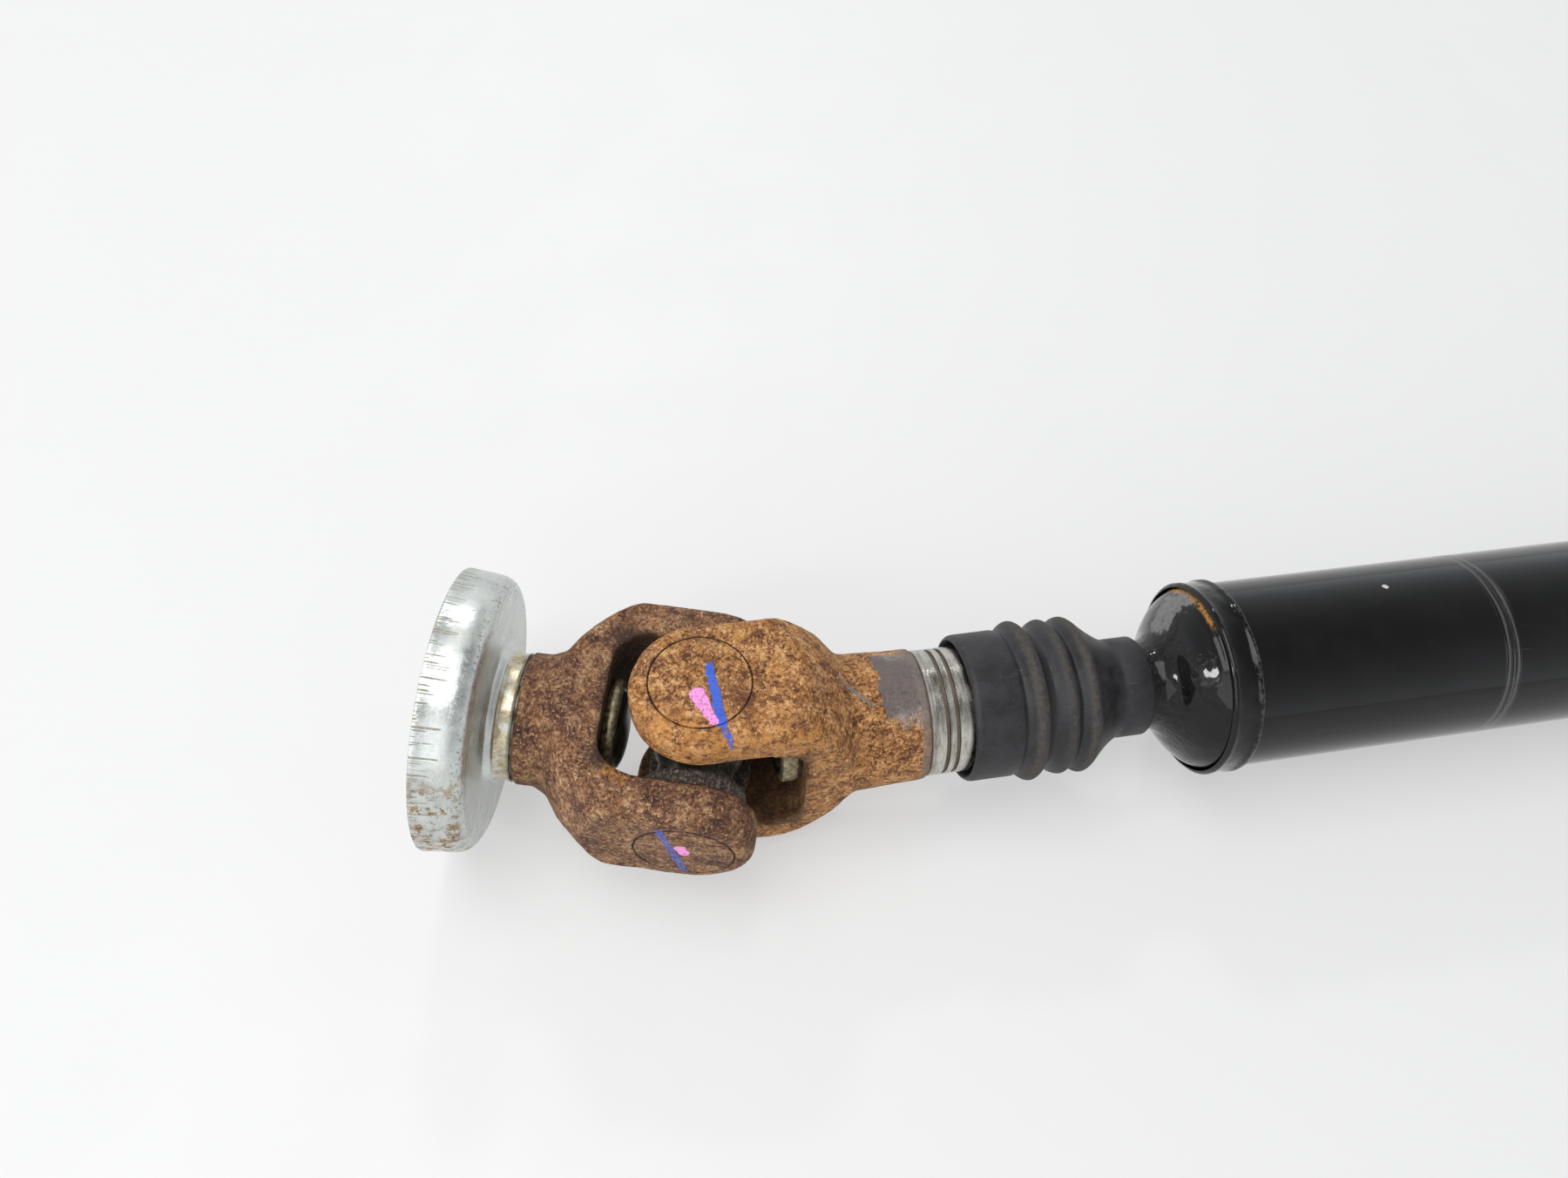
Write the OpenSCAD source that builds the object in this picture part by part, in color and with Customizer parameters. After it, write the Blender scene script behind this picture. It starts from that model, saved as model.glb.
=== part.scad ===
// Universal joint shaft: front propeller shaft of a four wheel drive car.
// A splined plug yoke with a pressed dust cap, a cross joint, a slip yoke on
// a splined stub under a rubber boot, a welded tube, a second cross joint and
// a flange yoke.  X runs along the tube, Z is up, millimetres.  The origin is
// the centre of the flange face.  The near joint is stored bent, as it lies.

/* [Layout] */
// distance between the two joint centres
joint_span = 600; // [450:1:900]
// near joint bend to the side
bend_side = 15.2; // [0:0.1:18]
// near joint bend upward
bend_up = 3.4; // [0:0.1:18]
// greatest bend of a joint about either pin
bend_limit = 18; // [10:1:20]

/* [Joint] */
// distance from joint centre to the outer ear face
ear_face = 30.6; // [28:0.1:34]
// distance from joint centre to the inner ear face
ear_inner = 19.4; // [17:0.1:21]
// outer radius of a bearing cup
cup_r = 12.42; // [11:0.01:14]
// length of a bearing cup
cup_len = 15.0; // [12:0.1:20]
// thickness of the cup end
cup_floor = 2.4; // [1.5:0.1:4]
// radius of a cross pin
pin_r = 7.6; // [6:0.1:9]
// radius of one needle roller
needle_r = 1.15; // [0.8:0.05:1.5]
// number of needle rollers in a cup
needle_count = 18; // [12:1:24]
// distance from joint centre to the fork base
fork_base = 24.6; // [23:0.1:30]

/* [Plug yoke] */
// radius of the plug yoke barrel
plug_barrel_r = 17.0; // [15:0.1:19]
// where the dust cap collar starts
collar_start = 45.7; // [44:0.1:50]
// radius of the seat under the collar
collar_seat_r = 15.4; // [14:0.1:16]
// end of the plug yoke barrel
plug_end = 61.0; // [55:0.5:75]
// radius of the plain lead-in bore
plug_lead_r = 13.0; // [11:0.1:14]
// length of the plain lead-in bore
plug_lead_len = 7; // [5:0.5:12]

/* [Dust cap] */
// outer radius of the cap rim
cap_r = 36.4; // [30:0.1:40]
// sheet thickness of the cap
cap_wall = 1.2; // [0.8:0.1:2]
// position of the flat annulus
cap_back = 52.3; // [50:0.1:56]
// position of the open rim
cap_rim = 64.7; // [60:0.1:70]

/* [Slip joint] */
// radius of the slip yoke barrel
slip_barrel_r = 17.35; // [16:0.05:19]
// end of the rough barrel and start of the machined part
ring_start = 57.2; // [54:0.1:62]
// radius of the machined part
ring_r = 16.65; // [15:0.05:18]
// end of the machined part, inside the boot
slip_end = 87.5; // [75:0.5:90]
// number of spline teeth
spline_teeth = 20; // [12:1:30]
// spline root radius on the stub
spline_root_r = 10.9; // [9:0.1:12]
// spline tip radius on the stub
spline_tip_r = 12.3; // [10:0.1:13]
// spline running clearance
spline_gap = 0.08; // [0.03:0.01:0.1]
// inner end of the splined stub
stub_tip = 40; // [36:0.5:50]

/* [Boot and tube] */
// radius of the tube
tube_r = 25.4; // [20:0.1:32]
// wall of the tube
tube_wall = 1.8; // [1.4:0.1:3]
// plane of the front weld
weld_front = 138.4; // [130:0.1:150]
// distance from the far joint back to the rear weld
weld_rear_gap = 66; // [55:1:90]
// thickness of the boot rubber
boot_wall = 1.8; // [1.2:0.1:2.5]

/* [Flange] */
// thickness of the flange plate
flange_t = 9; // [7:0.5:14]
// distance from the far joint to the flange face
flange_face = 57; // [50:1:70]
// half side of the square flange
flange_half = 31; // [29:0.5:40]
// bolt circle diameter
bolt_pcd = 62; // [60:1:80]
// bolt hole radius
bolt_r = 5.25; // [4:0.05:6]
// radius of the pilot recess
pilot_r = 20; // [15:0.5:24]
// depth of the pilot recess
pilot_depth = 4; // [2:0.5:6]

/* [Hidden] */
$fn = 64;
eps = 0.01;
face_x = joint_span + flange_face;
weld_rear = joint_span - weld_rear_gap;
cup_bore_r = pin_r + 0.05 + 2 * needle_r + 0.02;
cup_in = ear_face - cup_len;
pin_end = ear_face - cup_floor - 0.08;
seal_in = cup_in - 1.5;
seal_r = 13.6;
core_r = 12.48;
core_bore_r = 12.5;
// fork outline turned about the barrel axis: distance from joint, radius
fork_turn = [
    [-20, 34.3], [17.5, 34.3], [20.5, 33.5], [23.4, 32.0], [26, 30.1],
    [28.4, 28.1], [31, 25.9], [33.2, 23.6], [34.9, 21.4], [36.2, 19.5],
    [37.6, 18.3], [39.4, 17.7]
];
// half width of the arms and of the base between them
fork_half = 17.4;
// rounded ear section: half width, distance from joint
ear_section = [
    [16.2, ear_inner], [16.8, ear_inner + 0.5], [17.2, ear_inner + 1.5],
    [fork_half, ear_inner + 3], [fork_half, 26.0],
    [17.1, 28.0], [16.4, 29.4], [15.3, 30.3], [13.9, 30.6]
];

// sub-part to draw, or all

rust_dark = [0.25, 0.17, 0.14];
rust_light = [0.36, 0.22, 0.14];
zinc = [0.72, 0.73, 0.72];
gold = [0.62, 0.50, 0.26];
steel = [0.55, 0.54, 0.50];
black_paint = [0.03, 0.03, 0.035];
rubber = [0.10, 0.10, 0.11];

// ---- placing -------------------------------------------------------------

// shaft frame: near joint centre to row frame
module at_near() {
    translate([-face_x, 0, 0])
        children();
}

module at_far() {
    translate([joint_span - face_x, 0, 0])
        children();
}

// barrel along +X and pin along Z, moved to the bent plug yoke
module plug_pose() {
    at_near()
        rotate([0, 0, 180 - bend_side])
            rotate([0, -bend_up, 0])
                rotate([90, 0, 0])
                    children();
}

// the near cross turns with the side bend only
module near_cross_pose() {
    at_near()
        rotate([0, 0, 180 - bend_side])
            children();
}

// a turned body about +X from points of distance and radius
module turned(points) {
    rotate([0, 90, 0])
        rotate_extrude(convexity = 6)
            polygon([for (p = points) [p[1], p[0]]]);
}

// a round bar along +X
module bar(start, end, radius) {
    translate([start, 0, 0])
        rotate([0, 90, 0])
            cylinder(r = radius, h = end - start);
}

// the four arms of a cross: 0 top, 1 bottom, 2 front, 3 back
module arm_pose(arm) {
    turns = [[0, 0, 0], [180, 0, 0], [90, 0, 0], [-90, 0, 0]];
    rotate(turns[arm])
        children();
}

// ---- shared joint pieces -------------------------------------------------

// one rounded ear with its arm, pin along +Z
module ear_and_arm() {
    rotate_extrude(convexity = 4)
        polygon(concat([[0, ear_inner]], ear_section, [[0, ear_face]]));
    rotate([90, 0, 90])
        linear_extrude(height = 45)
            polygon(concat(
                ear_section,
                [for (i = [len(ear_section) - 1:-1:0])
                    [-ear_section[i][0], ear_section[i][1]]]
            ));
}

// two ears joined by a base: joint at the origin, pin along Z, barrel along +X
module fork(barrel_r, barrel_to) {
    difference() {
        union() {
            intersection() {
                turned(concat([[-20, 0]], fork_turn, [[39.4, 0]]));
                union() {
                    ear_and_arm();
                    mirror([0, 0, 1])
                        ear_and_arm();
                    // base between the arms
                    translate([fork_base - 9, -fork_half, -24])
                        cube([30, 2 * fork_half, 48]);
                }
            }
            bar(fork_base, barrel_to, barrel_r);
        }
        // gap between the ears, with filleted corners at the base
        rotate([90, 0, 0])
            linear_extrude(height = 80, center = true)
                polygon([
                    [-40, -ear_inner], [fork_base - 8.2, -ear_inner],
                    [fork_base - 5.4, -ear_inner + 0.8], [fork_base - 2.8, -ear_inner + 2.7],
                    [fork_base - 0.9, -ear_inner + 5.2], [fork_base, -ear_inner + 8.2],
                    [fork_base, ear_inner - 8.2], [fork_base - 0.9, ear_inner - 5.2],
                    [fork_base - 2.8, ear_inner - 2.7], [fork_base - 5.4, ear_inner - 0.8],
                    [fork_base - 8.2, ear_inner], [-40, ear_inner]
                ]);
        // cup bores
        cylinder(r = cup_r + 0.02, h = 90, center = true);
        // bore closed by the core plug
        bar(fork_base - 10, fork_base + 4.2, core_bore_r);
    }
}

module cross_body() {
    difference() {
        union() {
            sphere(r = 12.2);
            for (arm = [0:3])
                arm_pose(arm)
                    cylinder(r = pin_r, h = pin_end);
            for (arm = [0:3])
                arm_pose(arm)
                    cylinder(r = 9.8, h = seal_in - 0.5);
        }
        // centre drillings in the pin ends
        for (arm = [0:3])
            arm_pose(arm)
                translate([0, 0, pin_end - 3])
                    cylinder(r = 2.2, h = 5);
    }
}

module cup() {
    difference() {
        translate([0, 0, cup_in])
            cylinder(r = cup_r, h = cup_len);
        translate([0, 0, cup_in - 1])
            cylinder(r = cup_bore_r, h = cup_len - cup_floor + 1);
    }
}

module seal() {
    difference() {
        // plate with a skirt round the cup mouth and a lip inside it
        translate([0, 0, seal_in])
            cylinder(r = seal_r, h = ear_inner - 0.3 - seal_in);
        translate([0, 0, cup_in - 0.03])
            difference() {
                cylinder(r = cup_r + 0.05, h = 8);
                translate([0, 0, -1])
                    cylinder(r = cup_bore_r - 0.06, h = 2.4);
            }
        translate([0, 0, seal_in - 1])
            cylinder(r = pin_r + 0.06, h = 8);
    }
}

module needles() {
    translate([0, 0, cup_in + 1.8])
        for (i = [0:needle_count - 1])
            rotate([0, 0, i * 360 / needle_count])
                translate([pin_r + 0.05 + needle_r, 0, 0])
                    cylinder(r = needle_r, h = 10.2, $fn = 16);
}

// stepped plug closing a yoke bore: a rim proud of the base and a ribbed middle
module core_plug() {
    turned([
        [fork_base - 4.2, 0], [fork_base - 4.4, 6], [fork_base - 4.4, 10.3],
        [fork_base - 4.1, 10.9], [fork_base - 3.0, 11.1], [fork_base - 2.7, 11.6],
        [fork_base - 2.4, 12.1], [fork_base - 1.7, core_r], [fork_base + 4, core_r],
        [fork_base + 4, 11.2], [fork_base - 1.2, 11.0], [fork_base - 2.4, 9.6],
        [fork_base - 2.6, 0]
    ]);
}

// one straight sided spline tooth section, in the YZ plane
module spline_teeth_2d(root, tip, half_root, half_tip) {
    for (i = [0:spline_teeth - 1])
        rotate(i * 360 / spline_teeth)
            polygon([
                [root - 0.6, -half_root], [root, -half_root], [tip, -half_tip],
                [tip, half_tip], [root, half_root], [root - 0.6, half_root]
            ]);
}

module spline_bar(start, end, root, tip, half_root, half_tip) {
    translate([start, 0, 0])
        rotate([0, 90, 0])
            linear_extrude(height = end - start)
                union() {
                    circle(r = root);
                    spline_teeth_2d(root, tip, half_root, half_tip);
                }
}

// space cut in a yoke for the splined stub
module spline_hole(start, end) {
    spline_bar(start, end, spline_root_r + spline_gap, spline_tip_r + spline_gap,
        1.15 + spline_gap, 0.7 + spline_gap);
}

// ---- dust cap end --------------------------------------------------------

module dust_cap() {
    color(zinc)
        plug_pose()
            turned([
                [collar_start + 0.15, collar_seat_r + 0.02],
                [collar_start + 0.15, collar_seat_r + 1.0],
                [cap_back - 1.6, collar_seat_r + 1.05],
                [cap_back - 0.5, collar_seat_r + 1.7],
                [cap_back, collar_seat_r + 3],
                [cap_back, cap_r - 5.2], [cap_back + 0.7, cap_r - 3.2],
                [cap_back + 2.2, cap_r - 1.5], [cap_back + 4, cap_r - 0.8],
                [cap_rim - 0.8, cap_r], [cap_rim, cap_r - 0.2],
                [cap_rim, cap_r - cap_wall],
                [cap_back + 4.2, cap_r - 0.8 - cap_wall],
                [cap_back + 2.8, cap_r - 1.6 - cap_wall],
                [cap_back + 1.8, cap_r - 3.2 - cap_wall],
                [cap_back + cap_wall, cap_r - 4.6 - cap_wall],
                [cap_back + cap_wall, collar_seat_r + 1.8],
                [cap_back + 0.4, collar_seat_r + 0.4],
                [cap_back - 0.4, collar_seat_r + 0.02]
            ]);
}

module plug_yoke() {
    color(rust_dark)
        plug_pose()
            difference() {
                union() {
                    fork(plug_barrel_r, collar_start);
                    difference() {
                        bar(collar_start - eps, plug_end, collar_seat_r);
                        // chamfer at the end
                        turned([
                            [plug_end - 1, collar_seat_r], [plug_end + 1, collar_seat_r - 2],
                            [plug_end + 1, collar_seat_r + 1], [plug_end - 1, collar_seat_r + 1]
                        ]);
                    }
                }
                spline_hole(fork_base + 4.1, plug_end + 1);
                bar(plug_end - plug_lead_len, plug_end + 1, plug_lead_r);
            }
}

module plug_core_plug() {
    color(gold)
        plug_pose()
            core_plug();
}

// ---- near joint ----------------------------------------------------------

module near_cross() {
    color(steel)
        near_cross_pose()
            cross_body();
}

// vertical cups ride in the slip yoke, which is straight
module near_cup_top() {
    color(rust_light)
        at_near()
            arm_pose(0)
                cup();
}

module near_cup_bottom() {
    color(rust_light)
        at_near()
            arm_pose(1)
                cup();
}

// cups on the level pin ride in the bent plug yoke
module near_cup_front() {
    color(rust_dark)
        plug_pose()
            arm_pose(1)
                cup();
}

module near_cup_back() {
    color(rust_dark)
        plug_pose()
            arm_pose(0)
                cup();
}

module near_seal_top() {
    color(rubber)
        at_near()
            arm_pose(0)
                seal();
}

module near_seal_bottom() {
    color(rubber)
        at_near()
            arm_pose(1)
                seal();
}

module near_seal_front() {
    color(rubber)
        plug_pose()
            arm_pose(1)
                seal();
}

module near_seal_back() {
    color(rubber)
        plug_pose()
            arm_pose(0)
                seal();
}

module near_needles_top() {
    color(steel)
        at_near()
            arm_pose(0)
                needles();
}

module near_needles_bottom() {
    color(steel)
        at_near()
            arm_pose(1)
                needles();
}

module near_needles_front() {
    color(steel)
        plug_pose()
            arm_pose(1)
                needles();
}

module near_needles_back() {
    color(steel)
        plug_pose()
            arm_pose(0)
                needles();
}

// ---- slip joint ----------------------------------------------------------

module slip_yoke() {
    color(rust_light)
        at_near()
            difference() {
                union() {
                    fork(slip_barrel_r, ring_start);
                    // the barrel tapers down to the machined ring
                    turned([
                        [36, 0], [36, 18.1], [41, 17.95], [48, 17.65], [ring_start, slip_barrel_r],
                        [ring_start, 0]
                    ]);
                    difference() {
                        bar(ring_start - eps, slip_end, ring_r);
                        // two grooves in the machined ring
                        for (g = [ring_start + 4.0, ring_start + 6.6])
                            turned([
                                [g, ring_r - 0.5], [g + 1.1, ring_r - 0.5],
                                [g + 1.1, ring_r + 1], [g, ring_r + 1]
                            ]);
                    }
                }
                spline_hole(fork_base + 4.1, slip_end + 1);
            }
}

module slip_core_plug() {
    color(gold)
        at_near()
            core_plug();
}

module splined_stub() {
    color(black_paint)
        at_near()
            union() {
                spline_bar(stub_tip, 100, spline_root_r, spline_tip_r, 1.15, 0.7);
                turned([
                    [99, 0], [99, 11.0], [101, 12.0], [121, 12.0], [123.4, 12.9], [125.4, 14.8],
                    [127.2, 17.4], [129.2, 20.2], [131.4, 22.6], [133.4, 24.2],
                    [135.3, 25.1], [weld_front, tube_r], [weld_front, tube_r - 4],
                    [weld_front - 5, tube_r - 6.5], [weld_front - 8, 12], [weld_front - 9, 0]
                ]);
            }
}

// rubber bellows: big cuff, three folds, cone and small cuff
module boot() {
    color(rubber)
        at_near()
            turned([
                [68.3, 18.4], [68.9, 19.3], [70.2, 19.75], [80.4, 19.75], [81.6, 19.5],
                [82.8, 19.7], [84.1, 20.8], [85.5, 21.6], [86.9, 20.9], [88.3, 19.7],
                [89.8, 19.4], [91.4, 19.8], [92.6, 20.5], [93.9, 20.9], [95.2, 20.4],
                [96.4, 19.7], [97.4, 19.9], [98.7, 20.8], [99.9, 21.1], [101.2, 20.4],
                [103.2, 18.6], [106, 16.4], [108.8, 14.5], [111, 13.4], [112, 13.6],
                [118.4, 13.6], [119.3, 13.1],
                [119.3, 12.02], [109.6, 12.02],
                [107.6, 13.0], [104.6, 15.2], [101.8, 17.3], [100.2, 18.4],
                [98.9, 18.6], [97.4, 18.2], [95.4, 18.1], [93.9, 18.6], [92.4, 18.1],
                [89.8, 17.9], [87.2, 18.4], [85.5, 19.2], [83.8, 18.4],
                [81.6, 17.95], [69, 17.95]
            ]);
}

// ---- tube ----------------------------------------------------------------

module tube() {
    color(black_paint)
        at_near()
            difference() {
                bar(weld_front + 0.02, weld_rear - 0.02, tube_r);
                bar(weld_front - 1, weld_rear + 1, tube_r - tube_wall);
            }
}

// friction weld flash curled out to both sides of a plane
module weld_bead(plane) {
    at_near()
        turned([
            [plane - 4.3, tube_r + 0.02], [plane - 3.9, tube_r + 0.8],
            [plane - 3.1, tube_r + 1.15], [plane - 2.2, tube_r + 0.9],
            [plane, tube_r + 0.8], [plane + 2.0, tube_r + 0.9],
            [plane + 3.2, tube_r + 1.35], [plane + 3.9, tube_r + 1.1],
            [plane + 4.3, tube_r + 0.02]
        ]);
}

module front_weld_bead() {
    color(black_paint)
        weld_bead(weld_front);
}

module rear_weld_bead() {
    color(black_paint)
        weld_bead(weld_rear);
}

// small curved plate spot welded near the far end
module balance_weight() {
    color(black_paint)
        at_near()
            intersection() {
                difference() {
                    bar(weld_rear - 40, weld_rear - 14, tube_r + 2.5);
                    bar(weld_rear - 41, weld_rear - 13, tube_r + 0.02);
                }
                translate([weld_rear - 42, -9, 0])
                    cube([32, 18, 40]);
            }
}

// ---- far joint -----------------------------------------------------------

module weld_yoke() {
    color(black_paint)
        at_far()
            mirror([1, 0, 0])
                union() {
                    fork(17.6, 40);
                    difference() {
                        turned([
                            [38, 0], [38, 17.6], [43, 18.2], [47, 19.6], [51, 21.8],
                            [55, 23.9], [59, 25.0], [weld_rear_gap, tube_r],
                            [weld_rear_gap, tube_r - 4], [56, tube_r - 7], [52, 14], [51, 0]
                        ]);
                        bar(30, 38, 5);
                    }
                }
}

module far_cross() {
    color(steel)
        at_far()
            cross_body();
}

module far_cup_top() {
    color(black_paint)
        at_far()
            arm_pose(0)
                cup();
}

module far_cup_bottom() {
    color(black_paint)
        at_far()
            arm_pose(1)
                cup();
}

module far_cup_front() {
    color(rust_dark)
        at_far()
            arm_pose(2)
                cup();
}

module far_cup_back() {
    color(rust_dark)
        at_far()
            arm_pose(3)
                cup();
}

module far_seal_top() {
    color(rubber)
        at_far()
            arm_pose(0)
                seal();
}

module far_seal_bottom() {
    color(rubber)
        at_far()
            arm_pose(1)
                seal();
}

module far_seal_front() {
    color(rubber)
        at_far()
            arm_pose(2)
                seal();
}

module far_seal_back() {
    color(rubber)
        at_far()
            arm_pose(3)
                seal();
}

module far_needles_top() {
    color(steel)
        at_far()
            arm_pose(0)
                needles();
}

module far_needles_bottom() {
    color(steel)
        at_far()
            arm_pose(1)
                needles();
}

module far_needles_front() {
    color(steel)
        at_far()
            arm_pose(2)
                needles();
}

module far_needles_back() {
    color(steel)
        at_far()
            arm_pose(3)
                needles();
}

module flange_yoke() {
    color(rust_dark)
        at_far()
            rotate([90, 0, 0])
                difference() {
                    union() {
                        fork(18, flange_face - flange_t + 1);
                        // square flange with turned corners
                        intersection() {
                            translate([flange_face - flange_t, -flange_half, -flange_half])
                                cube([flange_t, 2 * flange_half, 2 * flange_half]);
                            bar(flange_face - flange_t - 1, flange_face + 1, flange_half + 8.4);
                        }
                    }
                    // bolt holes on the corners
                    for (i = [0:3])
                        rotate([45 + 90 * i, 0, 0])
                            translate([0, bolt_pcd / 2, 0])
                                bar(flange_face - flange_t - 1, flange_face + 1, bolt_r);
                    bar(flange_face - pilot_depth, flange_face + 1, pilot_r);
                }
}

// ---- drawing -------------------------------------------------------------

dust_cap();
plug_yoke();
plug_core_plug();
near_cross();
near_cup_top();
near_cup_bottom();
near_cup_front();
near_cup_back();
near_seal_top();
near_seal_bottom();
near_seal_front();
near_seal_back();
near_needles_top();
near_needles_bottom();
near_needles_front();
near_needles_back();
slip_yoke();
slip_core_plug();
splined_stub();
boot();
tube();
front_weld_bead();
rear_weld_bead();
balance_weight();
weld_yoke();
far_cross();
far_cup_top();
far_cup_bottom();
far_cup_front();
far_cup_back();
far_seal_top();
far_seal_bottom();
far_seal_front();
far_seal_back();
far_needles_top();
far_needles_bottom();
far_needles_front();
far_needles_back();
flange_yoke();
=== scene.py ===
"""Universal joint shaft: the looks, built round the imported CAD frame.

The shared frame is in metres: +X along the tube, +Z up, origin at the centre of the flange face. Outlines
are written in millimetres about a joint centre, with the barrel along local X and a cross pin along local Z.
"""
import bmesh
import bpy
import math
from mathutils import Matrix, Vector, noise


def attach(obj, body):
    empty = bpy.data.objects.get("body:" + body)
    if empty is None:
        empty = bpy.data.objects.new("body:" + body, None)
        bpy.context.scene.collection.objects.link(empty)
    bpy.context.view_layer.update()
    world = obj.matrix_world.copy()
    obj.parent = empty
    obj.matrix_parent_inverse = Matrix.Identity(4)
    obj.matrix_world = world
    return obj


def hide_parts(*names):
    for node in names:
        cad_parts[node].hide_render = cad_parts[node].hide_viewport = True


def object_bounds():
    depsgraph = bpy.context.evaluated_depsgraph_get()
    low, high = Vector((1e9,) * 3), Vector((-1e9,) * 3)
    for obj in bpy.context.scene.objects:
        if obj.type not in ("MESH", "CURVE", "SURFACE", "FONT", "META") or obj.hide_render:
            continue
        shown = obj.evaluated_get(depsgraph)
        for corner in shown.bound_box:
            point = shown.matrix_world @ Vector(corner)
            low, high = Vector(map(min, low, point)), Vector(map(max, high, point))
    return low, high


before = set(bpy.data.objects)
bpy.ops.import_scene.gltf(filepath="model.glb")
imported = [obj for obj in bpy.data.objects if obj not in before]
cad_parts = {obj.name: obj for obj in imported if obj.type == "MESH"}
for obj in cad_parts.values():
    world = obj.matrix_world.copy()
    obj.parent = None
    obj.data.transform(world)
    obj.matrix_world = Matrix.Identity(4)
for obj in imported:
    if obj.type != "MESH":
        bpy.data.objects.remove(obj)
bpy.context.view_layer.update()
scene = bpy.context.scene

MM = 0.001
FLANGE = 57.0           # flange face to far joint
SPAN = 600.0            # joint to joint
BEND_SIDE = 15.2        # how the near joint lies, degrees
BEND_UP = 3.4
EAR_FACE = 30.6         # outside of an ear, from the joint centre
EAR_INNER = 19.4        # its inside
CUP_R = 12.42           # bearing cup
CUP_IN = 15.6           # its mouth
PIN_R = 7.6             # pin of a cross
FORK_BASE = 24.6        # bottom of a fork
CORE_R = 12.48          # core plug bore, from the fork's bottom
CORE_TO = 28.7          # its end
BORE_FROM = 28.75       # start of the wider bore in a barrel
BORE_R = 13.0
SLEEVE_FROM = 28.9      # start of the splined sleeve in that bore
SLEEVE_R = 12.9
CORE_FILL_R = 12.9      # the rods that fill a CAD hole reach a little into its wall
BORE_FILL_R = 13.4
CUP_FILL_R = 12.8
COLLAR = 45.7           # where the dust cap collar starts on the plug yoke
CAP_RIM = 64.8          # open rim of the dust cap
RING = 57.2             # where the slip yoke barrel is turned down
RING_R = 16.65
SLIP_END = 87.5         # its end, inside the boot
STUB_FROM = 40.0        # front end of the splined stub
STUB_TO = 100.0         # end of its splines
WELD_FRONT = 138.4      # front weld, from the near joint
WELD_REAR_GAP = 66.0    # rear weld, from the far joint
TUBE_R = 25.4
TUBE_WALL = 1.8
FLANGE_T = 9.0          # thickness of the flange
BOLT_CIRCLE = 31.0      # radius to the flange bolts
BOLT_R = 5.25
RECESS_R = 20.0         # recess in the flange face
RECESS_FROM = 53.0      # its floor, from the far joint
TEETH = 20
SLEEVE_TEETH = (10.98, 12.38, 1.23, 0.78)       # radius at root and tip, half widths there
STUB_TEETH = (10.9, 12.3, 1.15, 0.7)


def turn(degrees, axis):
    return Matrix.Rotation(math.radians(degrees), 4, axis)


NEAR = Matrix.Translation((-(FLANGE + SPAN) * MM, 0, 0))
PLUG = NEAR @ turn(180 - BEND_SIDE, "Z") @ turn(-BEND_UP, "Y") @ turn(90, "X")
NEAR_CROSS = NEAR @ turn(180 - BEND_SIDE, "Z")
FAR = Matrix.Translation((-FLANGE * MM, 0, 0))
FAR_WELD = FAR @ turn(180, "Z")
FAR_FLANGE = FAR @ turn(90, "X")
ALONG = Matrix()                # a turned body along local X
PIN_UP = turn(-90, "Y")         # a turned body along local +Z
PIN_DOWN = turn(90, "Y")


# ---- shader nodes ---------------------------------------------------------

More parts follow.
